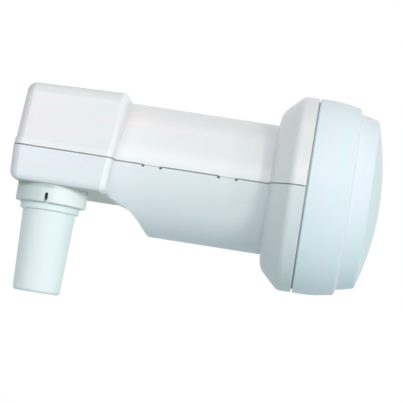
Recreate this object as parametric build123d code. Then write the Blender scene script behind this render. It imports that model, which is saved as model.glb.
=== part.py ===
from build123d import *
import os
from math import atan2, cos, degrees, radians, sin, sqrt, tan

# Satellite LNB. X is the feed axis and points to the feed cap, Z is up, and the origin is on the
# axis of the clamp neck. The housing is a clamshell that parts on the plane z = 0.

# Clamp neck and flange of the housing
neck_d = 40.0
shell_wall = 1.9
flange_d = 60.0
flange_back_x = 21.95
flange_length = 10.7
flange_rise = 3.8
flange_rim_length = 4.3
flange_root_round = 6.0
flange_rim_round = 2.7
flange_edge_round = 0.4
flange_lip = 1.9
flange_land = 3.2

# Box at the rear of the housing
box_rear_x = -54.75
box_front_x = -24.8
box_width = 51.0
box_top_gap = 0.75
box_top_climb = 0.8
box_floor = 10.4
rear_lean = 4.0
front_lean = 6.5
floor_rear_draft = 2.0
floor_front_draft = 4.5
top_round = 3.6
floor_round = 2.2
end_round = 2.8
front_round = 2.0
least_round = 0.5
band_height = 2.2
band_step = 0.25

# Ramp from the box floor down to the underside of the neck
ramp_foot_x = -13.0
ramp_angle = 52.0
ramp_blend = 18.0

# Parting line and snap tongues
seam_gap = 0.26
seam_depth = 0.7
tongue_middles = (-13.4, 9.3)
tongue_length = 5.3
tongue_reach = 3.2
tongue_thick = 1.1
mark_width = 0.8
mark_height = 0.6
mark_depth = 1.5

# Saddle ribs that hold the waveguide
rib_middles = (5.0, 16.0)
rib_thick = 1.6

# Feed cap and the seal behind it
cap_gap = 0.45
cap_straight = 5.9
cap_bend_round = 30.0
cap_taper_length = 7.0
cap_taper = 1.25
cap_step = 1.55
cap_ring_length = 5.5
cap_ring_taper = 1.25
cap_dome = 4.1
cap_wall = 1.8
cap_rim_length = 2.0
cap_round = 1.2
cap_back_round = 0.5
seal_width = 2.2

# Waveguide, horn and its rings
guide_bore_d = 18.5
guide_wall = 1.75
guide_past_ramp = 4.2
guide_end_wall = 2.0
flare_length = 24.0
horn_mouth_d = 31.0
horn_wall = 1.3
horn_setback = 1.0
ring_wall = 1.2
ring_setback = 0.5
ring_floor = 1.0
rim_gap = 1.2
catch_step = 0.9
catch_thick = 1.6

# Board tray of the casting
tray_gap = 0.75
tray_floor_thick = 1.8
nose_width = 16.4
nose_gap = 0.21
nose_past_probe = 6.4
web_width = 12.0
tray_rim_height = 2.6
tray_wall = 1.6
tray_corner = 2.0
post_d = 4.4
post_inset = 2.6

# Collar, connector and weather boot
boot_from_rear = 12.3
boot_from_side = 12.0
collar_d = 21.2
collar_reach = 5.3
collar_round = 0.5
well_d = 18.4
well_depth = 14.1
well_roof = 1.4
slot_width = 1.0
slot_height = 2.9
boss_d = 11.4
boss_past_collar = 3.3
thread_d = 9.525
thread_length = 14.0
thread_chamfer = 0.5
connector_bore_d = 6.4
shank_d = 8.4
shank_length = 8.0
nut_d = 11.2
nut_thick = 1.5
piston_d = 17.8
piston_inside = 3.8
piston_outside = 2.1
piston_wall = 1.5
boot_top_d = 15.9
boot_end_d = 14.2
boot_past_collar = 26.6
boot_wall = 1.35
boot_round = 1.0
piston_round = 0.4
seal_cord_d = 1.8

# Clearances, and how far a cut runs past the face that it opens
fit = 0.15
pin_fit = 0.05
over = 1.0

# Lid, gasket, board and what they carry. A place on the wide part of the board is measured from the
# tray's rear wall and +Y wall, or from its front wall and -Y wall where the number is negative. A
# place on the nose is measured along X from the vertical probe.
gasket_thick = 0.4
lid_thick = 0.9
board_thick = 0.8
screw_d = 1.8
screw_head_d = 3.4
screw_head = 0.7
screw_depth = 3.0
tuner_d = 2.8
tuner_length = 2.0
puck_d = 5.0
puck_height = 1.5
puck_places = ((4.6, 9.0), (4.6, 18.0))
chip_place = (12.0, 15.5)
chip_size = (5.0, 5.0, 0.9)
regulator_place = (-5.5, -8.5)
regulator_size = (4.6, 3.4, 1.6)
transistor_places = ((-12.0, 0.0), (-3.5, 2.5), (3.0, -3.0))
transistor_size = (1.5, 1.3, 0.6)
capacitor_places = ((-10.0, -4.5), (-10.0, -8.5), (-5.5, -14.0), (-2.5, 13.5), (-2.5, 8.5))
capacitor_size = (1.6, 0.9, 0.8)
pin_d = 1.0
pin_show = 0.5
bush_d = 3.2
probe_depth = 5.0
probe_bend = 1.2
probe_from_end = 6.4
probe_pitch = 7.0
horizontal_probe_y = 4.4
isolation_d = 1.6

# Shared places worked out from the sizes above
neck_r = neck_d / 2
flange_r = flange_d / 2
flange_face_x = flange_back_x + flange_length
slope = atan2(flange_r - neck_r - flange_rise, flange_length - flange_rim_length)
mouth_d = flange_d - 2 * flange_land
rim_r = mouth_d / 2 - 2 * fit

cap_back_x = flange_face_x + cap_gap
cap_bend_x = cap_back_x + cap_straight
cap_shoulder_x = cap_bend_x + cap_taper_length
cap_shoulder_r = flange_r - cap_taper
cap_ring_r = cap_shoulder_r - cap_step
cap_edge_x = cap_shoulder_x + cap_ring_length
cap_edge_r = cap_ring_r - cap_ring_taper
cap_nose_x = cap_edge_x + cap_dome

guide_bore_r = guide_bore_d / 2
guide_r = guide_bore_r + guide_wall
guide_end_x = ramp_foot_x - guide_past_ramp
rim_end_x = cap_shoulder_x - cap_wall - rim_gap
ring_end_x = rim_end_x - ring_setback
ring_floor_x = flange_face_x + ring_floor
horn_mouth_x = rim_end_x - horn_setback
flare_start_x = horn_mouth_x - flare_length
vertical_probe_x = guide_end_x + probe_from_end
horizontal_probe_x = vertical_probe_x + probe_pitch
isolation_x = (vertical_probe_x + horizontal_probe_x) / 2

nose_half = nose_width / 2
lid_top_z = sqrt((neck_r - shell_wall - nose_gap) ** 2 - nose_half ** 2)
lid_z = lid_top_z - lid_thick
tray_rim_z = lid_z - gasket_thick
tray_floor_z = tray_rim_z - tray_rim_height
board_z = tray_floor_z + board_thick
screw_top_z = lid_top_z + screw_head
box_top_rear = screw_top_z + box_top_gap + shell_wall
box_top_front = box_top_rear + box_top_climb
box_half = box_width / 2
tray_half = box_half - band_step - shell_wall - tray_gap
tray_front_x = box_front_x - shell_wall - tray_gap
tray_rear_x = box_rear_x + band_step + shell_wall + tray_gap + screw_top_z * tan(radians(rear_lean))
nose_front_x = horizontal_probe_x + nose_past_probe

boot_x = box_rear_x + boot_from_rear
boot_y = boot_from_side - box_half
collar_end_z = -box_floor - collar_reach
well_top_z = collar_end_z + well_depth
well_roof_z = well_top_z + well_roof
boss_end_z = collar_end_z - boss_past_collar
shank_top_z = boss_end_z + shank_length
thread_end_z = boss_end_z - thread_length
contact_top_z = board_z + pin_show
piston_top_z = collar_end_z + piston_inside
piston_end_z = collar_end_z - piston_outside
boot_end_z = collar_end_z - boot_past_collar


def turned(points, radii=0):
    """A body turned about the feed axis, from (x, radius) points."""
    outline = FilletPolyline(points, radius=radii, close=True)
    return revolve(Plane.XZ * make_face(outline), axis=Axis.X)


def turned_upright(points, radii=0):
    """A body turned about the boot's axis, from (radius, z) points."""
    outline = FilletPolyline(points, radius=radii, close=True)
    return Pos(boot_x, boot_y, 0) * revolve(Plane.XZ * make_face(outline), axis=Axis.Z)


def along_axis(diameter, x0, x1):
    """A cylinder on the feed axis."""
    return Pos((x0 + x1) / 2, 0, 0) * Rot(0, 90, 0) * Cylinder(diameter / 2, x1 - x0)


def upright(diameter, z0, z1, place):
    """A vertical cylinder between two heights."""
    return Pos(place[0], place[1], (z0 + z1) / 2) * Cylinder(diameter / 2, z1 - z0)


def block(x0, x1, y0, y1, z0, z1):
    """A box given by its limits."""
    return Pos((x0 + x1) / 2, (y0 + y1) / 2, (z0 + z1) / 2) * Box(x1 - x0, y1 - y0, z1 - z0)


def side_face(points, radii=0):
    """A face in the side view, from (x, z) points."""
    return Plane.XZ * make_face(FilletPolyline(points, radius=radii, close=True))


def upper_half(shape):
    return split(shape, bisect_by=Plane.XY, keep=Keep.TOP)


def lower_half(shape):
    return split(shape, bisect_by=Plane.XY, keep=Keep.BOTTOM)


def inner_round(outer_round, inset):
    """The rounding that an outside edge keeps when its outline is drawn inward."""
    return max(outer_round - inset, least_round)


def round_box(body, half, long_round, inset):
    """Round the long edges of half a box, then its two ends, and leave the parting plane sharp."""
    far_z = max(abs(v.Z) for v in body.vertices())
    far_edges = [e for e in body.edges() if abs(e.center().Z) > 0.9 * far_z]
    long_edges = [e for e in far_edges if abs(e.center().Y) > half / 2]
    body = fillet(long_edges, inner_round(long_round, inset))
    for end, outer_round in ((0, end_round), (-1, front_round)):
        face = body.faces().sort_by(Axis.X)[end]
        edges = [e for e in face.edges() if abs(e.center().Z) > pin_fit]
        body = fillet(edges, inner_round(outer_round, inset))
    return body


# Outlines of the housing. An inset draws each of them inward, so that the walls and the groove of
# the parting line follow the outside.


def upper_box(inset):
    half = box_half - band_step - inset
    rear = box_rear_x + band_step + inset
    front = box_front_x - inset
    top_rear = box_top_rear - inset
    top_front = box_top_front - inset
    rear_top = rear + top_rear * tan(radians(rear_lean))
    front_top = front + top_front * tan(radians(front_lean))
    side = side_face([(rear, 0), (front, 0), (front_top, top_front), (rear_top, top_rear)])
    return round_box(extrude(side, half, both=True), half, top_round, inset)


def lower_box(inset):
    half = box_half - inset
    rear = box_rear_x + inset
    front = box_front_x - inset
    depth = box_floor - inset
    rear_low = rear + depth * tan(radians(floor_rear_draft))
    front_low = front - depth * tan(radians(floor_front_draft))
    side = side_face([(rear, 0), (front, 0), (front_low, -depth), (rear_low, -depth)])
    return round_box(extrude(side, half, both=True), half, floor_round, inset)


def seam_band(inset):
    """The flared foot of the upper box, just above the parting line."""
    plan = Rectangle(box_front_x - box_rear_x - 2 * inset, box_width - 2 * inset)
    plan = fillet(plan.vertices().group_by(Axis.X)[0], end_round)
    plan = fillet(plan.vertices().group_by(Axis.X)[-1], front_round)
    foot = Pos((box_front_x + box_rear_x) / 2, 0, 0) * plan
    return extrude(foot, band_height, taper=degrees(atan2(band_step, band_height)))


def barrel(inset, face_x, edge_round, rear):
    """Neck and flange as one turned body, from a rear end that lies inside the box."""
    neck = neck_r - inset
    back = flange_back_x + inset
    rim = flange_r - inset
    slope_start = neck_r + flange_rise + tan(slope) * inset - inset / cos(slope)
    slope_end = back + (rim - slope_start) / tan(slope)
    points = [(rear, 0), (rear, neck), (back, neck), (back, slope_start)]
    points += [(slope_end, rim), (face_x, rim), (face_x, 0)]
    root_round = inner_round(flange_root_round, inset)
    rim_round = inner_round(flange_rim_round, inset)
    return turned(points, [0, 0, 0, root_round, rim_round, edge_round, 0])


def ramp_side(inset):
    """All that lies above the box floor and in front of the ramp, as a wide prism."""
    angle = radians(ramp_angle)
    floor = inset - box_floor
    low = -2 * neck_r
    foot = ramp_foot_x + inset / sin(angle)
    corner = foot - (neck_r + floor) / tan(angle)
    bottom = foot + (-neck_r - low) / tan(angle)
    rear = box_front_x - 2 * ramp_blend
    front = flange_face_x + flange_lip
    points = [(rear, 0), (rear, floor), (corner, floor), (bottom, low), (front, low), (front, 0)]
    return extrude(side_face(points, [0, 0, ramp_blend, 0, 0, 0]), flange_d, both=True)


def upper_outline(inset):
    neck = barrel(inset, flange_face_x, flange_edge_round, box_front_x - inset)
    return upper_box(inset) + seam_band(inset) + upper_half(neck)


def lower_outline(inset):
    neck = barrel(inset, flange_face_x, flange_edge_round, box_front_x - end_round - inset)
    return lower_box(inset) + (lower_half(neck) & ramp_side(inset))


def saddle_rings():
    """Rings between the neck wall and the waveguide, halved between the two shells."""
    rings = Part()
    for x in rib_middles:
        ring = along_axis(neck_d - shell_wall, x - rib_thick / 2, x + rib_thick / 2)
        rings += ring - along_axis(2 * (guide_r + fit), x - rib_thick, x + rib_thick)
    return rings


def snap_tongues():
    """Tongues of the upper shell that reach down inside the wall of the lower one."""
    inner_r = neck_r - shell_wall - fit - tongue_thick
    tongues = Part()
    for x in tongue_middles:
        x0 = x - tongue_length / 2
        x1 = x + tongue_length / 2
        root = along_axis(neck_d - shell_wall, x0, x1) & block(x0, x1, -neck_r, neck_r, 0, tongue_reach)
        blade = along_axis(2 * (inner_r + tongue_thick), x0, x1)
        blade = blade & block(x0, x1, -neck_r, neck_r, -tongue_reach, tongue_reach)
        tongues += root + blade - along_axis(2 * inner_r, x0 - over, x1 + over)
    return tongues


def seam_marks():
    """Small notches in the lower shell's edge, at the ends of the tongues."""
    marks = Part()
    for x in tongue_middles:
        for place in (x - tongue_length / 2, x + tongue_length / 2):
            x0 = place - mark_width / 2
            x1 = place + mark_width / 2
            notch = block(x0, x1, -neck_r, neck_r, -mark_height, over)
            marks += notch - along_axis(neck_d - 2 * mark_depth, x0 - over, x1 + over)
    return marks


def seam_groove(outside):
    """The groove of the parting line, which stops where a tongue closes the joint."""
    groove = outside - upper_outline(seam_depth)
    groove = groove & block(box_rear_x, flange_face_x, -flange_r, flange_r, 0, seam_gap)
    for x in tongue_middles:
        x0 = x - tongue_length / 2
        x1 = x + tongue_length / 2
        groove -= block(x0, x1, -flange_r, flange_r, -over, over)
    return groove


def neck_room():
    """The hollow inside neck and flange."""
    return barrel(shell_wall, flange_face_x - flange_lip, 0, box_front_x - end_round - shell_wall)


def make_upper_shell():
    mouth = along_axis(mouth_d, flange_face_x - 2 * flange_lip, flange_face_x + flange_lip)
    outside = upper_outline(0)
    shell = outside - upper_box(shell_wall) - neck_room() - mouth
    shell += upper_half(saddle_rings())
    shell += snap_tongues()
    return shell - seam_groove(outside)


def make_lower_shell():
    room = neck_room() & ramp_side(shell_wall)
    mouth = along_axis(mouth_d, flange_face_x - 2 * flange_lip, flange_face_x + flange_lip)
    shell = lower_outline(0) - lower_box(shell_wall) - room - mouth
    shell += lower_half(saddle_rings())

    place = (boot_x, boot_y)
    collar = upright(collar_d, collar_end_z, well_roof_z, place)
    collar = fillet(collar.edges().sort_by(Axis.Z)[0], collar_round)
    shell += collar
    shell -= upright(well_d, collar_end_z - over, well_top_z, place)
    shell -= upright(boss_d + 4 * fit, well_top_z - over, well_roof_z + over, place)
    slot_top = collar_end_z + slot_height - slot_width / 2
    slot = block(-slot_width / 2, slot_width / 2, -collar_d, 0, collar_end_z - over, slot_top)
    slot += Pos(0, -collar_d / 2, slot_top) * Rot(90, 0, 0) * Cylinder(slot_width / 2, collar_d)
    return shell - Pos(boot_x, boot_y, 0) * slot - seam_marks()


def cap_face(points, radii, nose_x):
    """Half section of the cap or of its inside: straight stretches, then the arc of the dome."""
    edge_x, edge_r = points[-1]
    rise = nose_x - edge_x
    dome_r = (edge_r ** 2 + rise ** 2) / (2 * rise)
    half_way = (nose_x - dome_r + sqrt(dome_r ** 2 - (edge_r / 2) ** 2), edge_r / 2)
    wall = FilletPolyline(points, radius=radii)
    dome = ThreePointArc(points[-1], half_way, (nose_x, 0))
    axis = Line((nose_x, 0), points[0])
    return make_face(wall.edges() + [dome, axis])


def make_feed_cap():
    points = [(cap_back_x, 0), (cap_back_x, flange_r), (cap_bend_x, flange_r)]
    points += [(cap_shoulder_x, cap_shoulder_r), (cap_shoulder_x, cap_ring_r), (cap_edge_x, cap_edge_r)]
    outside = cap_face(points, [cap_back_round, cap_bend_round, cap_round, 0], cap_nose_x)
    body = revolve(Plane.XZ * outside, axis=Axis.X)
    circles = body.edges().filter_by(GeomType.CIRCLE)
    front_edge = min(circles, key=lambda edge: abs(edge.radius - cap_edge_r))
    body = fillet(front_edge, cap_round)

    rim_x = cap_back_x + cap_rim_length
    shoulder_x = cap_shoulder_x - cap_wall
    points = [(rim_x, 0), (rim_x, flange_r - cap_wall), (cap_bend_x, flange_r - cap_wall)]
    points += [(shoulder_x, cap_shoulder_r - cap_wall), (shoulder_x, cap_ring_r - cap_wall)]
    points += [(cap_edge_x - cap_wall, cap_edge_r - cap_wall)]
    inside = cap_face(points, 0, cap_nose_x - cap_wall)
    body -= revolve(Plane.XZ * inside, axis=Axis.X)
    return body - along_axis(2 * (rim_r + fit), cap_back_x - over, rim_x + over)


def make_cap_seal():
    inner_r = rim_r + fit
    ring = along_axis(2 * (inner_r + seal_width), flange_face_x, cap_back_x)
    return ring - along_axis(2 * inner_r, flange_face_x - over, cap_back_x + over)


# The board tray is T-shaped: a wide part in the box and a nose that reaches over the waveguide.


def tray_plan(inset):
    points = [(tray_rear_x, -tray_half), (tray_front_x, -tray_half), (tray_front_x, -nose_half)]
    points += [(nose_front_x, -nose_half), (nose_front_x, nose_half), (tray_front_x, nose_half)]
    points += [(tray_front_x, tray_half), (tray_rear_x, tray_half)]
    plan = make_face(FilletPolyline(points, radius=tray_corner, close=True))
    if inset == 0:
        return plan
    return offset(plan, -inset)


def post_places():
    y = tray_half - post_inset
    places = [(nose_front_x - post_inset, 0)]
    for x in (tray_rear_x + post_inset, tray_front_x - post_inset):
        places += [(x, -y), (x, y)]
    return places


def rim_plan():
    """The top of the tray's rim, with a post for each lid screw."""
    posts = Sketch() + [Pos(x, y) * Circle(post_d / 2) for x, y in post_places()]
    return tray_plan(0) - tray_plan(tray_wall) + posts


def probe_places():
    return [(vertical_probe_x, 0), (horizontal_probe_x, horizontal_probe_y)]


def bush_low_z(y):
    """Where a bush meets the wall of the waveguide's bore."""
    return sqrt(guide_bore_r ** 2 - (abs(y) + bush_d / 2) ** 2)


def make_casting():
    mouth_r = horn_mouth_d / 2
    lip_r = mouth_r + horn_wall
    ring_r = (lip_r + rim_r) / 2
    catch_r = rim_r + catch_step
    catch_front = flange_face_x - flange_lip - fit
    catch_back = catch_front - catch_thick
    flare = (mouth_r - guide_bore_r) / (horn_mouth_x - flare_start_x)
    back_r = guide_bore_r + flare * (catch_back - flare_start_x) + horn_wall + guide_wall
    points = [(guide_end_x, 0), (guide_end_x, guide_r), (flare_start_x, guide_r), (catch_back, back_r)]
    points += [(catch_back, catch_r), (catch_front, catch_r), (catch_front, rim_r)]
    points += [(rim_end_x, rim_r), (rim_end_x, rim_r - ring_wall), (ring_floor_x, rim_r - ring_wall)]
    points += [(ring_floor_x, ring_r), (ring_end_x, ring_r), (ring_end_x, ring_r - ring_wall)]
    points += [(ring_floor_x, ring_r - ring_wall), (ring_floor_x, lip_r), (horn_mouth_x, lip_r)]
    points += [(horn_mouth_x, mouth_r), (flare_start_x, guide_bore_r)]
    points += [(guide_end_x + guide_end_wall, guide_bore_r), (guide_end_x + guide_end_wall, 0)]
    casting = turned(points)

    floor_low = tray_floor_z - tray_floor_thick
    tray = Pos(0, 0, floor_low) * extrude(tray_plan(0), tray_floor_thick)
    rim = Pos(0, 0, tray_floor_z) * extrude(rim_plan(), tray_rim_height)
    place = (boot_x, boot_y)
    boss = upright(boss_d, boss_end_z, floor_low + tray_floor_thick / 2, place)
    bore = along_axis(guide_bore_d, guide_end_x + guide_end_wall, flare_start_x)
    web_top = tray_floor_z - tray_floor_thick / 2
    web = block(guide_end_x, nose_front_x, -web_width / 2, web_width / 2, 0, web_top)
    pocket = Pos(0, 0, tray_floor_z) * extrude(tray_plan(tray_wall), tray_rim_height)
    casting = casting + tray + boss + web - bore - pocket + rim
    casting -= upright(shank_d + 2 * pin_fit, boss_end_z - over, shank_top_z, place)
    casting -= upright(bush_d, shank_top_z - over, tray_floor_z + over, place)
    for screw in post_places():
        casting -= upright(screw_d + 2 * pin_fit, lid_top_z - screw_depth - fit, tray_rim_z + over, screw)
    for probe in probe_places():
        casting -= upright(bush_d + 2 * pin_fit, bush_low_z(probe[1]) - over, tray_floor_z + over, probe)
    pin_way = Cylinder(isolation_d / 2 + pin_fit, 4 * guide_r)
    return casting - Pos(isolation_x, 0, 0) * Rot(90, 0, 0) * pin_way


def make_lid_gasket():
    gasket = Pos(0, 0, tray_rim_z) * extrude(rim_plan(), gasket_thick)
    for place in post_places():
        gasket -= upright(screw_d + 2 * fit, tray_rim_z - over, lid_z + over, place)
    return gasket


def make_lid():
    lid = Pos(0, 0, lid_z) * extrude(tray_plan(0), lid_thick)
    for place in post_places():
        lid -= upright(screw_d + 2 * fit, lid_z - over, lid_top_z + over, place)
    for place in puck_places:
        lid -= upright(tuner_d + 2 * pin_fit, lid_z - over, lid_top_z + over, tray_place(*place))
    return lid


def make_lid_screws():
    screws = []
    for place in post_places():
        head = upright(screw_head_d, lid_top_z, screw_top_z, place)
        screws.append(head + upright(screw_d, lid_top_z - screw_depth, lid_top_z, place))
    return screws


def make_tuning_screws():
    low = (lid_z + lid_top_z - tuner_length) / 2
    return [upright(tuner_d, low, low + tuner_length, tray_place(*p)) for p in puck_places]


def make_board():
    board = Pos(0, 0, tray_floor_z) * extrude(tray_plan(tray_wall + fit), board_thick)
    for place in post_places():
        board -= upright(post_d + 2 * fit, tray_floor_z - over, board_z + over, place)
    for place in probe_places() + [(boot_x, boot_y)]:
        board -= upright(pin_d + 2 * pin_fit, tray_floor_z - over, board_z + over, place)
    return board


def tray_place(along, across):
    """A place on the wide part of the board, from the tray's walls."""
    x = tray_rear_x + along if along > 0 else tray_front_x + along
    y = tray_half - across if across > 0 else -tray_half - across
    return x, y


def nose_place(along, across):
    """A place on the nose of the board, from the vertical probe."""
    return vertical_probe_x + along, across


def on_board(place, size):
    """A component that sits on the board."""
    return Pos(place[0], place[1], board_z + size[2] / 2) * Box(*size)


def make_transistors():
    return [on_board(nose_place(*place), transistor_size) for place in transistor_places]


def make_capacitors():
    return [on_board(tray_place(*place), capacitor_size) for place in capacitor_places]


def make_pucks():
    return [upright(puck_d, board_z, board_z + puck_height, tray_place(*p)) for p in puck_places]


def make_vertical_probe():
    return upright(pin_d, guide_bore_r - probe_depth, contact_top_z, (vertical_probe_x, 0))


def make_horizontal_probe():
    """Enters from the board like the other probe, then turns across the waveguide."""
    top = (horizontal_probe_x, horizontal_probe_y, contact_top_z)
    turn = (horizontal_probe_x, horizontal_probe_y, 0)
    tip = (horizontal_probe_x, horizontal_probe_y - probe_depth, 0)
    path = FilletPolyline([top, turn, tip], radius=probe_bend)
    section = Plane(origin=top, z_dir=(0, 0, -1)) * Circle(pin_d / 2)
    return sweep(section, path)


def make_probe_bushes():
    bushes = []
    for place in probe_places():
        low = bush_low_z(place[1])
        bush = upright(bush_d, low, tray_floor_z, place)
        bushes.append(bush - upright(pin_d + 2 * pin_fit, low - over, tray_floor_z + over, place))
    return bushes


def make_isolation_pin():
    return Pos(isolation_x, 0, 0) * Rot(90, 0, 0) * Cylinder(isolation_d / 2, 2 * (guide_r - fit))


def make_connector_body():
    r = thread_d / 2
    bore_r = connector_bore_d / 2
    shank_r = shank_d / 2
    points = [(bore_r, thread_end_z), (r - thread_chamfer, thread_end_z)]
    points += [(r, thread_end_z + thread_chamfer), (r, boss_end_z), (shank_r, boss_end_z)]
    points += [(shank_r, shank_top_z), (bore_r, shank_top_z)]
    nut = extrude(RegularPolygon(nut_d / 2, 6), nut_thick)
    nut = Pos(boot_x, boot_y, boss_end_z - nut_thick) * nut
    return turned_upright(points) + (nut - upright(thread_d - pin_fit, thread_end_z, 0, (boot_x, boot_y)))


def make_insulator():
    place = (boot_x, boot_y)
    plug = upright(connector_bore_d - 2 * pin_fit, thread_end_z + thread_chamfer, shank_top_z, place)
    return plug - upright(pin_d + 2 * fit, thread_end_z - over, shank_top_z + over, place)


def make_contact():
    return upright(pin_d, thread_end_z + 4 * thread_chamfer, contact_top_z, (boot_x, boot_y))


def make_boss_seal():
    cord_r = seal_cord_d / 2
    ring = Torus(boss_d / 2 + pin_fit + cord_r, cord_r)
    return Pos(boot_x, boot_y, well_roof_z + cord_r) * ring


def make_boot():
    top_r = boot_top_d / 2
    end_r = boot_end_d / 2
    piston_r = piston_d / 2
    points = [(piston_r - piston_wall, piston_top_z), (piston_r, piston_top_z), (piston_r, piston_end_z)]
    points += [(top_r, piston_end_z), (end_r, boot_end_z), (end_r - boot_wall, boot_end_z)]
    points += [(top_r - boot_wall, piston_end_z), (piston_r - piston_wall, piston_end_z + piston_wall)]
    boot = turned_upright(points, [0, piston_round, piston_round, 0, boot_round, 0, 0, 0])
    slot = block(-slot_width, slot_width, -piston_d, 0, piston_top_z - slot_height, piston_top_z + over)
    return boot - Pos(boot_x, boot_y, 0) * slot


nodes = {
    "upper_shell": make_upper_shell(),
    "lower_shell": make_lower_shell(),
    "feed_cap": make_feed_cap(),
    "cap_seal": make_cap_seal(),
    "weather_boot": make_boot(),
    "feedhorn_casting": make_casting(),
    "shield_lid": make_lid(),
    "lid_gasket": make_lid_gasket(),
    "lid_screws": Compound(children=make_lid_screws()),
    "tuning_screws": Compound(children=make_tuning_screws()),
    "circuit_board": make_board(),
    "low_noise_transistors": Compound(children=make_transistors()),
    "converter_chip": on_board(tray_place(*chip_place), chip_size),
    "voltage_regulator": on_board(tray_place(*regulator_place), regulator_size),
    "chip_capacitors": Compound(children=make_capacitors()),
    "resonator_pucks": Compound(children=make_pucks()),
    "vertical_probe": make_vertical_probe(),
    "horizontal_probe": make_horizontal_probe(),
    "probe_bushes": Compound(children=make_probe_bushes()),
    "isolation_pin": make_isolation_pin(),
    "f_connector_body": make_connector_body(),
    "f_insulator": make_insulator(),
    "f_contact": make_contact(),
    "boss_seal": make_boss_seal(),
}

os.makedirs("parts", exist_ok=True)
for name, solid in nodes.items():
    export_step(solid, f"parts/{name}.step")
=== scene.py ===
from math import cos, pi, radians, sin, tau

import bmesh
import bpy
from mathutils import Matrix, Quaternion, Vector


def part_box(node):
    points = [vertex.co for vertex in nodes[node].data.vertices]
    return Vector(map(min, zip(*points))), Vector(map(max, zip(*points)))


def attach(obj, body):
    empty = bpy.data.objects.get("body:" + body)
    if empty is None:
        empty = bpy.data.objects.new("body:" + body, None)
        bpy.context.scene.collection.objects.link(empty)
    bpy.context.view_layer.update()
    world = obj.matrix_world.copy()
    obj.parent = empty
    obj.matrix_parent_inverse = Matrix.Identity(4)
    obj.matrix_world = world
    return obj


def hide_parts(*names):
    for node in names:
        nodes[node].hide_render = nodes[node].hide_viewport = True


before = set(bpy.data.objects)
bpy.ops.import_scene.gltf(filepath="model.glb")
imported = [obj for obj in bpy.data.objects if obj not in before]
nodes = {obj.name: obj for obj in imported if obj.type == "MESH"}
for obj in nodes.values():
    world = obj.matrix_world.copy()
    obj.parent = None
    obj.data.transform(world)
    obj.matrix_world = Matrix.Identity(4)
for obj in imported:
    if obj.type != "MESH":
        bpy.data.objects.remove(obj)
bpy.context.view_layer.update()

# Feedhorn casting: waveguide, corrugated horn, board tray and connector boss, pressure-cast in one
# piece of aluminium. The cast skin is dull and faintly mottled, with fine pits and no polish.
MM = 0.001


class Value:
    """A socket in a material's nodes. Arithmetic on values adds Math nodes."""

    def __init__(self, tree, socket=None):
        self.tree = tree
        self.socket = socket

    def node(self, kind, settings=None, inputs=None, output=0):
        """Add a node: its settings first, then the values or links of its sockets."""
        made = self.tree.nodes.new("ShaderNode" + kind)
        for name, setting in (settings or {}).items():
            setattr(made, name, setting)
        for name, value in (inputs or {}).items():
            if isinstance(value, Value):
                self.tree.links.new(value.socket, made.inputs[name])
            else:
                made.inputs[name].default_value = value
        return Value(self.tree, made.outputs[output] if made.outputs else None)

    def maths(self, operation, first, second=0.0):
        return self.node("Math", {"operation": operation}, {0: first, 1: second})

    def __add__(self, other):
        return self.maths("ADD", self, other)

    __radd__ = __add__

    def __sub__(self, other):
        return self.maths("SUBTRACT", self, other)

    def __rsub__(self, other):
        return self.maths("SUBTRACT", other, self)

    def __mul__(self, other):
        return self.maths("MULTIPLY", self, other)

    __rmul__ = __mul__

    def ramp(self, low, high):
        """0 where this value is under low, 1 where it is over high, and smooth between."""
        limits = {0: self, 1: low, 2: high}
        return self.node("MapRange", {"interpolation_type": "SMOOTHSTEP"}, limits)

    def hump(self, start, full, ebb, end):
        """0 outside start and end, 1 from full to ebb, and smooth between."""
        return self.ramp(start, full) * (1 - self.ramp(ebb, end))

    def mix(self, first, second):
        """Two colours, blended by this value."""
        return self.node("Mix", {"data_type": "RGBA"}, {0: self, 6: first, 7: second}, 2)

    def noise(self, place, size, detail=2.0):
        """Noise from 0 to 1 with features of that size in metres."""
        return self.node("TexNoise", {}, {"Vector": place, "Scale": 1 / size, "Detail": detail})

    def drawn_out(self, place, sizes):
        """The place, scaled so that noise of size 1 has these sizes along X, Y and Z."""
        scale = tuple(1 / size for size in sizes)
        return self.node("VectorMath", {"operation": "MULTIPLY"}, {0: place, 1: scale})

    def bump(self, height, depth, strength):
        """A normal that makes this height, from 0 to 1, look that deep in metres."""
        inputs = {"Height": height, "Distance": depth, "Strength": strength}
        return self.node("Bump", {}, inputs)


def finish(name, surface):
    """A material whose surface is what the given function makes."""
    material = bpy.data.materials.new(name)
    material.use_nodes = True
    material.node_tree.nodes.clear()
    start = Value(material.node_tree)
    place = start.node("TexCoord", output="Object")
    start.node("OutputMaterial", {}, {"Surface": surface(start, place)})
    return material


def dress(name, material):
    """Give a node of the frame its finish."""
    nodes[name].data.materials.clear()
    nodes[name].data.materials.append(material)


def cast_skin(start, place):
    mottle = start.noise(place, 6 * MM, 4.0)
    grain = start.noise(place, 0.35 * MM, 3.0)
    pits = start.noise(place, 0.9 * MM, 1.0).ramp(0.66, 0.74)
    colour = mottle.mix((0.50, 0.51, 0.53, 1), (0.64, 0.65, 0.67, 1))
    return start.node("BsdfPrincipled", {}, {
        "Base Color": pits.mix(colour, (0.36, 0.36, 0.37, 1)),
        "Metallic": 0.9,
        "Roughness": 0.40 + 0.2 * grain,
        "Normal": start.bump(grain - pits, 0.03 * MM, 0.6),
    })


dress("feedhorn_casting", finish("cast_aluminium", cast_skin))

# Isolation pin and the two probes: drawn wire with a thin silver plating, which tarnishes to a warm
# grey in patches. The pin is pressed across the waveguide between the probes.


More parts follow.
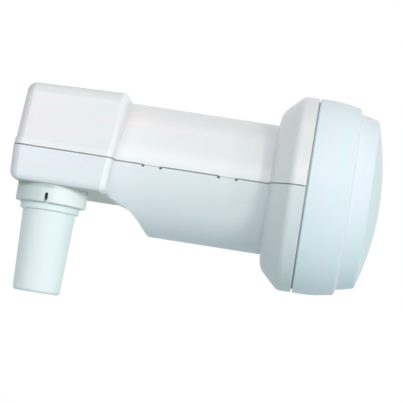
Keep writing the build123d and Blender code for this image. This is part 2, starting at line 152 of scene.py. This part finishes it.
def silver_plating(start, place):
    tarnish = start.noise(place, 1.6 * MM, 3.0).ramp(0.45, 0.70)
    drawing = start.noise(start.drawn_out(place, (0.1 * MM, 0.1 * MM, 3 * MM)), 1.0)
    return start.node("BsdfPrincipled", {}, {
        "Base Color": tarnish.mix((0.84, 0.84, 0.82, 1), (0.66, 0.61, 0.53, 1)),
        "Metallic": 1.0,
        "Roughness": 0.18 + 0.12 * drawing + 0.1 * tarnish,
        "Normal": start.bump(drawing, 0.004 * MM, 0.5),
    })


pin_silver = finish("pin_silver", silver_plating)
for name in ("isolation_pin", "vertical_probe", "horizontal_probe"):
    dress(name, pin_silver)

# Bushes of the probes and the connector's insulator: turned from a white, waxy plastic, with fine
# rings from the tool. Each is a push fit in its bore.


def turned_wax(start, place):
    rings = start.noise(start.drawn_out(place, (20 * MM, 20 * MM, 0.12 * MM)), 1.0)
    bloom = start.noise(place, 2.5 * MM, 2.0)
    return start.node("BsdfPrincipled", {}, {
        "Base Color": bloom.mix((0.88, 0.88, 0.86, 1), (0.80, 0.80, 0.77, 1)),
        "Roughness": 0.32 + 0.18 * rings,
        "Normal": start.bump(rings, 0.01 * MM, 0.5),
    })


insulator_plastic = finish("insulator_plastic", turned_wax)
dress("probe_bushes", insulator_plastic)
dress("f_insulator", insulator_plastic)

# F connector: turned brass with bright nickel plating. A 3/8-32 thread runs from the open end to
# the hexagon that bears on the boss, and a plain shank is pressed into the casting.
thread_pitch = 25.4 / 32 * MM
thread_depth = 0.42 * MM
thread_length = 14.0 * MM
thread_r = 9.525 / 2 * MM
runout = 0.55 * MM
flank_steepness = 1.25
crest_share = 0.1
shank_r = 4.2 * MM
bore_r = 3.2 * MM
bore_edge = 0.3 * MM
hexagon_r = 5.6 * MM
hexagon_thick = 1.5 * MM
hexagon_edge = 0.35 * MM
turn_steps = 72
pitch_steps = 8
sharp_edge = radians(32)


def ringed_skin(name, rings, centre):
    """A closed skin through rings of (radius at each angle step, height), joined end to end."""
    mesh = bmesh.new()
    rows = []
    for radii, height in rings:
        row = []
        for step, radius in enumerate(radii):
            angle = tau * step / turn_steps
            row.append(mesh.verts.new((radius * cos(angle), radius * sin(angle), height)))
        rows.append(row)
    for row, after in zip(rows, rows[1:] + rows[:1]):
        for step in range(turn_steps):
            following = (step + 1) % turn_steps
            mesh.faces.new((row[step], row[following], after[following], after[step]))
    bmesh.ops.recalc_face_normals(mesh, faces=mesh.faces)
    data = bpy.data.meshes.new(name)
    mesh.to_mesh(data)
    mesh.free()
    skin = bpy.data.objects.new(name, data)
    skin.location = centre
    bpy.context.scene.collection.objects.link(skin)
    return skin


def thread_radius(height, step):
    """Radius of the thread at a height above the open end, with rounded crests and a run-out."""
    turn = (height / thread_pitch - step / turn_steps) % 1.0
    flank = min(max(abs(2 * turn - 1) * flank_steepness - crest_share, 0.0), 1.0)
    cut = thread_depth * (0.5 - 0.5 * cos(pi * flank))
    lead_in = max(runout - height, 0.0)
    return min(thread_r - cut, thread_r - lead_in)


def plain(radius):
    """The same radius at every angle step."""
    return [radius] * turn_steps


connector_low, connector_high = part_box("f_connector_body")
connector_axis = (connector_low + connector_high) / 2
open_end = Vector((connector_axis.x, connector_axis.y, connector_low.z))
connector_length = connector_high.z - connector_low.z
thread_rings = []
for row in range(int(thread_length / thread_pitch * pitch_steps) + 1):
    height = row * thread_pitch / pitch_steps
    radii = [thread_radius(height, step) for step in range(turn_steps)]
    thread_rings.append((radii, height))
body_rings = [(plain(bore_r + bore_edge), 0.0)] + thread_rings
body_rings += [(plain(thread_r), thread_length), (plain(shank_r), thread_length)]
body_rings += [(plain(shank_r), connector_length), (plain(bore_r), connector_length)]
body_rings += [(plain(bore_r), bore_edge)]
connector = ringed_skin("threaded_connector", body_rings, open_end)

flat_r = hexagon_r * cos(pi / 6)
hexagon = []
for step in range(turn_steps):
    from_flat = (tau * step / turn_steps) % (pi / 3) - pi / 6
    hexagon.append(flat_r / cos(from_flat))
root = plain(thread_r - thread_depth)
hexagon_rings = [(root, 0.0), (plain(flat_r), 0.0)]
hexagon_rings += [(hexagon, hexagon_edge), (hexagon, hexagon_thick), (root, hexagon_thick)]
hexagon_low = open_end + Vector((0, 0, thread_length - hexagon_thick))
connector_hexagon = ringed_skin("connector_hexagon", hexagon_rings, hexagon_low)


def nickel_plating(start, place):
    haze = start.noise(place, 2.2 * MM, 3.0)
    turning = start.noise(start.drawn_out(place, (15 * MM, 15 * MM, 0.08 * MM)), 1.0)
    return start.node("BsdfPrincipled", {}, {
        "Base Color": haze.mix((0.74, 0.72, 0.68, 1), (0.62, 0.60, 0.55, 1)),
        "Metallic": 1.0,
        "Roughness": 0.16 + 0.14 * haze + 0.08 * turning,
        "Normal": start.bump(turning, 0.003 * MM, 0.4),
    })


connector_nickel = finish("connector_nickel", nickel_plating)
for piece in (connector, connector_hexagon):
    piece.data.materials.append(connector_nickel)
    piece.data.set_sharp_from_angle(angle=sharp_edge)
    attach(piece, "housing")
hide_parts("f_connector_body")
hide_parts("f_connector_body")
dress("f_contact", pin_silver)

# Rubber seals: a round cord on the connector's boss and a flat ring between flange and feed cap,
# both moulded in pale grey rubber with a paler bloom where they have been handled.


def seal_skin(start, place):
    bloom = start.noise(place, 3 * MM, 3.0).ramp(0.40, 0.75)
    grain = start.noise(place, 0.2 * MM, 2.0)
    return start.node("BsdfPrincipled", {}, {
        "Base Color": bloom.mix((0.60, 0.62, 0.63, 1), (0.69, 0.71, 0.72, 1)),
        "Roughness": 0.58 + 0.2 * grain,
        "Normal": start.bump(grain, 0.02 * MM, 0.5),
    })


seal_rubber = finish("seal_rubber", seal_skin)
dress("boss_seal", seal_rubber)
dress("cap_seal", seal_rubber)

# Circuit board: glass laminate with tinned copper islands under a green mask, cut to the tray and
# held down by the lid. Bare laminate shows between the islands.


def board_surface(start, place):
    cells = {"Vector": place, "Scale": 1 / (3.2 * MM), "Randomness": 0.75}
    edge = start.node("TexVoronoi", {"feature": "DISTANCE_TO_EDGE"}, cells, "Distance")
    island = edge.ramp(0.07, 0.10)
    weave = start.noise(start.drawn_out(place, (0.5 * MM, 0.25 * MM, 5 * MM)), 1.0)
    masked = weave.mix((0.045, 0.17, 0.075, 1), (0.06, 0.23, 0.10, 1))
    return start.node("BsdfPrincipled", {}, {
        "Base Color": island.mix((0.33, 0.36, 0.20, 1), masked),
        "Roughness": 0.30 + 0.15 * weave,
        "Normal": start.bump(island + 0.15 * weave, 0.035 * MM, 0.7),
    })


dress("circuit_board", finish("board_laminate", board_surface))

# Transistors, converter chip and regulator: moulded in black resin with a fine matt grain, and
# soldered flat on the board.


def resin_skin(start, place):
    flow = start.noise(place, 1.8 * MM, 2.0)
    grain = start.noise(place, 0.12 * MM, 2.0)
    return start.node("BsdfPrincipled", {}, {
        "Base Color": flow.mix((0.028, 0.028, 0.032, 1), (0.045, 0.045, 0.050, 1)),
        "Roughness": 0.48 + 0.2 * grain,
        "Normal": start.bump(grain, 0.012 * MM, 0.6),
    })


chip_resin = finish("chip_resin", resin_skin)
for name in ("low_noise_transistors", "converter_chip", "voltage_regulator"):
    dress(name, chip_resin)

# Chip capacitors and resonator pucks: fired ceramic. The capacitors are tan, the pucks are pale and
# ground flat, with a slightly speckled body.


def fired(pale, deep, speck_size, roughness):
    """Ceramic, speckled between two colours."""
    def surface(start, place):
        speck = start.noise(place, speck_size, 3.0)
        body = start.noise(place, 8 * speck_size, 2.0)
        return start.node("BsdfPrincipled", {}, {
            "Base Color": (0.7 * speck + 0.3 * body).mix(pale, deep),
            "Roughness": roughness + 0.15 * speck,
            "Normal": start.bump(speck, 0.01 * MM, 0.4),
        })
    return surface


capacitor_tan = fired((0.60, 0.49, 0.36, 1), (0.46, 0.36, 0.25, 1), 0.15 * MM, 0.35)
dress("chip_capacitors", finish("capacitor_ceramic", capacitor_tan))
puck_pale = fired((0.82, 0.76, 0.64, 1), (0.70, 0.63, 0.50, 1), 0.25 * MM, 0.45)
dress("resonator_pucks", finish("puck_ceramic", puck_pale))

# Lid gasket and shield lid: the lid is stamped from tinned sheet, with fine rolling lines along its
# length. It presses a soft conductive gasket on the tray's rim.


def tinned_sheet(start, place):
    rolling = start.noise(start.drawn_out(place, (9 * MM, 0.12 * MM, 0.12 * MM)), 1.0, 3.0)
    bloom = start.noise(place, 7 * MM, 3.0)
    return start.node("BsdfPrincipled", {}, {
        "Base Color": bloom.mix((0.70, 0.71, 0.72, 1), (0.58, 0.59, 0.61, 1)),
        "Metallic": 1.0,
        "Roughness": 0.24 + 0.12 * bloom + 0.1 * rolling,
        "Normal": start.bump(rolling, 0.006 * MM, 0.5),
    })


def gasket_felt(start, place):
    fibre = start.noise(place, 0.22 * MM, 4.0)
    return start.node("BsdfPrincipled", {}, {
        "Base Color": fibre.mix((0.10, 0.10, 0.10, 1), (0.22, 0.22, 0.23, 1)),
        "Roughness": 0.70 + 0.2 * fibre,
        "Normal": start.bump(fibre, 0.04 * MM, 0.8),
    })


dress("lid_gasket", finish("gasket_felt", gasket_felt))
dress("shield_lid", finish("lid_steel", tinned_sheet))

# Lid screws: five small plated steel screws with low round heads.
# Tuning screws: turned brass, set above the pucks and locked.


def plated_steel(start, place):
    tint = start.noise(place, 0.8 * MM, 3.0)
    return start.node("BsdfPrincipled", {}, {
        "Base Color": tint.mix((0.60, 0.61, 0.63, 1), (0.52, 0.50, 0.44, 1)),
        "Metallic": 1.0,
        "Roughness": 0.25 + 0.15 * tint,
        "Normal": start.bump(tint, 0.004 * MM, 0.5),
    })


def turned_brass(start, place):
    rings = start.noise(start.drawn_out(place, (8 * MM, 8 * MM, 0.07 * MM)), 1.0)
    tarnish = start.noise(place, 0.9 * MM, 3.0)
    return start.node("BsdfPrincipled", {}, {
        "Base Color": tarnish.mix((0.80, 0.62, 0.30, 1), (0.60, 0.42, 0.18, 1)),
        "Metallic": 1.0,
        "Roughness": 0.22 + 0.2 * tarnish,
        "Normal": start.bump(rings, 0.006 * MM, 0.5),
    })


dress("lid_screws", finish("screw_steel", plated_steel))
dress("tuning_screws", finish("tuner_brass", turned_brass))

# Housing: two half shells moulded in white weatherproof plastic, snapped together on the parting
# line. The satin skin has sparked grain, flow clouds and scuffs, and grime in the joint. Painted
# shade darkens it towards the cap, on the neck by the flange, under the box, on the collar and over
# the box, most on its top and rear edges. A painted highlight lightens its front edges. The top is
# matt.
pale_end_x = -70 * MM
deep_end_x = 50 * MM
box_front_x = -24 * MM
box_front_fade = 2 * MM
box_floor_z = -10.4 * MM
box_floor_fade = 0.7 * MM
collar_top_z = -10.6 * MM
collar_fade = 1.4 * MM
flange_shadow_x = (7 * MM, 15 * MM, 16.5 * MM, 19 * MM)
flange_shadow_z = (-11 * MM, -5 * MM, 14 * MM, 19 * MM)
flange_shadow_share = 0.18
box_shade_share = 0.09
top_slopes = (0.07, 0.22)
top_shade_share = 0.14
rear_edge_shade_slopes = (0.05, 0.25, 0.97, 0.995)
rear_shade_share = 0.28
front_edge_highlight_slopes = (0.05, 0.30, 0.97, 0.995)
highlight_share = 0.6
joint_core = 0.04 * MM
joint_edge = 0.2 * MM
joint_grime = (0.42, 0.46, 0.46, 1)
shaded_collar_mint = (0.790, 0.834, 0.840, 1)
shade_grey = (0.50, 0.545, 0.535, 1)
highlight_white = (0.95, 0.97, 0.95, 1)


def moulded_white(pale, flushed, deep, scuffed, dullness, shine):
    """White plastic in clouds of pale and flushed, with painted shade deeper towards the cap, and
    scuffs.
    """
    def surface(start, place):
        along, above = [start.node("SeparateXYZ", {}, {0: place}, axis) for axis in ("X", "Z")]
        # Painted shade: the plastic turns darker towards the cap end.
        capward_shade = along.ramp(pale_end_x, deep_end_x)
        flow = start.noise(start.drawn_out(place, (45 * MM, 16 * MM, 7 * MM)), 1.0, 2.0)
        body = capward_shade.mix(flow.ramp(0.35, 0.65).mix(pale, flushed), deep)
        on_box = 1 - along.ramp(box_front_x - box_front_fade, box_front_x)
        # Painted shade: the box's underside is grey, and the collar under it is darker and tinted
        # mint.
        below_floor = 1 - above.ramp(box_floor_z, box_floor_z + box_floor_fade)
        down_collar = 1 - above.ramp(collar_top_z - collar_fade, collar_top_z)
        underside_shade = down_collar.mix(shade_grey, shaded_collar_mint)
        body = (on_box * below_floor).mix(body, underside_shade)
        # Painted shadow of the flange on the neck beside it.
        flange_shadow = flange_shadow_share * along.hump(*flange_shadow_x) * above.hump(*flange_shadow_z)
        body = flange_shadow.mix(body, shade_grey)
        facing = start.node("NewGeometry", {}, {}, "Normal")
        ahead, up = [start.node("SeparateXYZ", {}, {0: facing}, axis) for axis in ("X", "Z")]
        # Painted shade: the whole box is a little greyer, more on its top and rear edges. The top
        # is also matt.
        matt_shaded_top = up.ramp(*top_slopes) * on_box
        rear_edge_shade = (0 - ahead).hump(*rear_edge_shade_slopes) * on_box
        front_edge_highlight = ahead.hump(*front_edge_highlight_slopes) * on_box
        box_painted_shade = box_shade_share * on_box + top_shade_share * matt_shaded_top + rear_shade_share * rear_edge_shade
        body = box_painted_shade.mix(body, shade_grey)
        # Painted highlight: the box's front edges are lighter.
        body = (highlight_share * front_edge_highlight).mix(body, highlight_white)
        grain = start.noise(place, 0.5 * MM, 3.0)
        rub = start.noise(start.drawn_out(place, (9 * MM, 5 * MM, 1.4 * MM)), 1.0, 3.0)
        scuff = rub.ramp(0.66, 0.82)
        joint = start.maths("ABSOLUTE", above).ramp(joint_core, joint_edge)
        clean = scuff.mix(body, scuffed)
        return start.node("BsdfPrincipled", {}, {
            "Base Color": joint.mix(joint_grime, clean),
            "Roughness": dullness + 0.1 * grain + 0.08 * scuff + 0.3 * matt_shaded_top,
            "Specular IOR Level": shine * (1 - 0.8 * matt_shaded_top),
            "Normal": start.bump(grain, 0.035 * MM, 0.5),
        })
    return surface


lower_white = moulded_white(
    pale=(0.870, 0.875, 0.920, 1), flushed=(0.895, 0.865, 0.940, 1), deep=(0.690, 0.730, 0.745, 1),
    scuffed=(0.76, 0.77, 0.80, 1), dullness=0.42, shine=0.25)
upper_white = moulded_white(
    pale=(0.870, 0.860, 0.865, 1), flushed=(0.925, 0.835, 0.860, 1), deep=(0.752, 0.762, 0.766, 1),
    scuffed=(0.80, 0.79, 0.81, 1), dullness=0.24, shine=0.5)
dress("lower_shell", finish("housing_white_lower", lower_white))
dress("upper_shell", finish("housing_white_upper", upper_white))

# Feed cap: thin moulded cover that clips on the horn's rim. A cooler white than the housing, with
# faint rings from the turned mould, the same satin grain, and the moulding gate in its middle.
gate_r = 1.1 * MM
gate_fade = 0.5 * MM
gate_grey = (0.70, 0.77, 0.82, 1)


def cap_skin(start, place):
    rings = start.noise(start.drawn_out(place, (1.1 * MM, 90 * MM, 90 * MM)), 1.0, 2.0)
    bands = start.noise(start.drawn_out(place, (5 * MM, 45 * MM, 45 * MM)), 1.0, 2.0)
    grain = start.noise(place, 0.5 * MM, 3.0)
    tone = 0.2 * rings + 0.8 * bands
    white = tone.ramp(0.3, 0.7).mix((0.788, 0.812, 0.880, 1), (0.734, 0.836, 0.868, 1))
    from_axis = start.node("VectorMath", {"operation": "MULTIPLY"}, {0: place, 1: (0, 1, 1)})
    radius = start.node("VectorMath", {"operation": "LENGTH"}, {0: from_axis}, "Value")
    past_gate = radius.ramp(gate_r, gate_r + gate_fade)
    return start.node("BsdfPrincipled", {}, {
        "Base Color": past_gate.mix(gate_grey, white),
        "Roughness": 0.54 - 0.12 * past_gate + 0.1 * grain,
        "Specular IOR Level": 0.35,
        "Normal": start.bump(grain + rings, 0.012 * MM, 0.5),
    })


dress("feed_cap", finish("cap_white", cap_skin))

# Weather boot: softer, slightly waxy sleeve that slides in the collar over the connector, moulded
# with a draft and drawn off its core, which leaves faint lines along its length.


def boot_skin(start, place):
    draw = start.noise(start.drawn_out(place, (0.9 * MM, 0.9 * MM, 30 * MM)), 1.0, 2.0)
    cloud = start.noise(place, 10 * MM, 2.0)
    grain = start.noise(place, 0.45 * MM, 2.0)
    return start.node("BsdfPrincipled", {}, {
        "Base Color": cloud.mix((0.835, 0.885, 0.895, 1), (0.81, 0.87, 0.878, 1)),
        "Roughness": 0.44 + 0.08 * grain + 0.06 * draw,
        "Specular IOR Level": 0.3,
        "Normal": start.bump(grain + draw, 0.012 * MM, 0.4),
    })


dress("weather_boot", finish("boot_white", boot_skin))

# Studio: a pale floor well below the part, which a clamp holds by its neck in use. A wide strip
# light stands in front and above, and a narrow one hangs overhead. A small soft box at the right
# and a wide one behind show in no reflection, and an even fill comes from all round.
floor_z = -0.10
floor_size = 6.0
lit_reach = 0.15
white_reach = 0.4
bpy.ops.mesh.primitive_plane_add(size=floor_size, location=(0, 0, floor_z))
floor = bpy.context.object
floor.name = "floor"


def seen_directly(start):
    """1 for camera, glossy and transmitted rays, 0 for the light that bounces between surfaces."""
    path = [start.node("LightPath", output=name) for name in
            ("Is Camera Ray", "Is Glossy Ray", "Is Transmission Ray")]
    return start.maths("MINIMUM", path[0] + path[1] + path[2], 1.0)


def floor_surface(start, place):
    """Seen, the floor is lit near the part and white further off. It bounces a cooler light."""
    bounce = start.node("BsdfDiffuse", {}, {"Color": (0.69, 0.80, 0.83, 1)})
    lit = start.node("BsdfDiffuse", {}, {"Color": (0.66, 0.60, 0.62, 1)})
    glow = start.node("Emission", {}, {"Color": (1, 1, 1, 1), "Strength": 0.40})
    near = start.node("AddShader", {}, {0: lit, 1: glow})
    white = start.node("Emission", {}, {"Color": (1, 1, 1, 1), "Strength": 1.0})
    reach = start.node("VectorMath", {"operation": "LENGTH"}, {0: place}, "Value")
    far = reach.ramp(lit_reach, white_reach)
    shown = start.node("MixShader", {}, {0: far, 1: near, 2: white})
    return start.node("MixShader", {}, {0: seen_directly(start), 1: bounce, 2: shown})


floor.data.materials.append(finish("floor_white", floor_surface))

world = bpy.data.worlds.new("studio")
world.use_nodes = True
world.node_tree.nodes.clear()
sky = Value(world.node_tree)
fill_level = 0.47
strength = fill_level + (1 - fill_level) * seen_directly(sky)
tint = seen_directly(sky).mix((0.88, 1.0, 0.96, 1), (1, 1, 1, 1))
background = sky.node("Background", {}, {"Color": tint, "Strength": strength})
sky.node("OutputWorld", {}, {"Surface": background})
bpy.context.scene.world = world


def soft_box(name, place, size, power, colour):
    """An area lamp at a place, turned to the origin."""
    lamp = bpy.data.lights.new(name, "AREA")
    lamp.shape = "RECTANGLE"
    lamp.size, lamp.size_y = size
    lamp.energy = power
    lamp.color = colour
    held = bpy.data.objects.new(name, lamp)
    held.location = place
    held.rotation_euler = (-Vector(place)).to_track_quat("-Z", "Y").to_euler()
    bpy.context.scene.collection.objects.link(held)
    return held


soft_box("front_strip", (-0.13, -1.86, 0.72), (1.6, 0.65), 10.9, (0.99, 0.91, 0.99))
key_box = soft_box("key_box", (1.35, -1.42, 0.35), (0.4, 0.4), 14.5, (0.97, 1.0, 0.94))
back_box = soft_box("back_box", (0.0, 1.9, 0.1), (1.2, 0.6), 11.0, (1.0, 0.97, 0.97))
soft_box("top_strip", (0.0, -0.3, 2.0), (1.6, 0.3), 2.9, (1.0, 0.84, 0.87))
for lamp in (key_box, back_box):
    lamp.visible_glossy = False

# Camera: a long lens below the feed axis and right of the box, rolled so that the cap end hangs
# lower. It has no shift and no depth of field.
eye = Vector((34.5, -500.0, -43.9)) * MM
aim = Vector((1.5, 0.0, -6.7)) * MM
roll = radians(9.1)
lens = bpy.data.cameras.new("camera")
lens.lens = 145.8
lens.sensor_width = 36.0
lens.clip_start = 0.01
camera = bpy.data.objects.new("camera", lens)
camera.location = eye
camera.rotation_mode = "QUATERNION"
camera.rotation_quaternion = (aim - eye).to_track_quat("-Z", "Y") @ Quaternion((0, 0, 1), roll)
bpy.context.scene.collection.objects.link(camera)
bpy.context.scene.camera = camera
bpy.context.scene.view_settings.view_transform = "Standard"
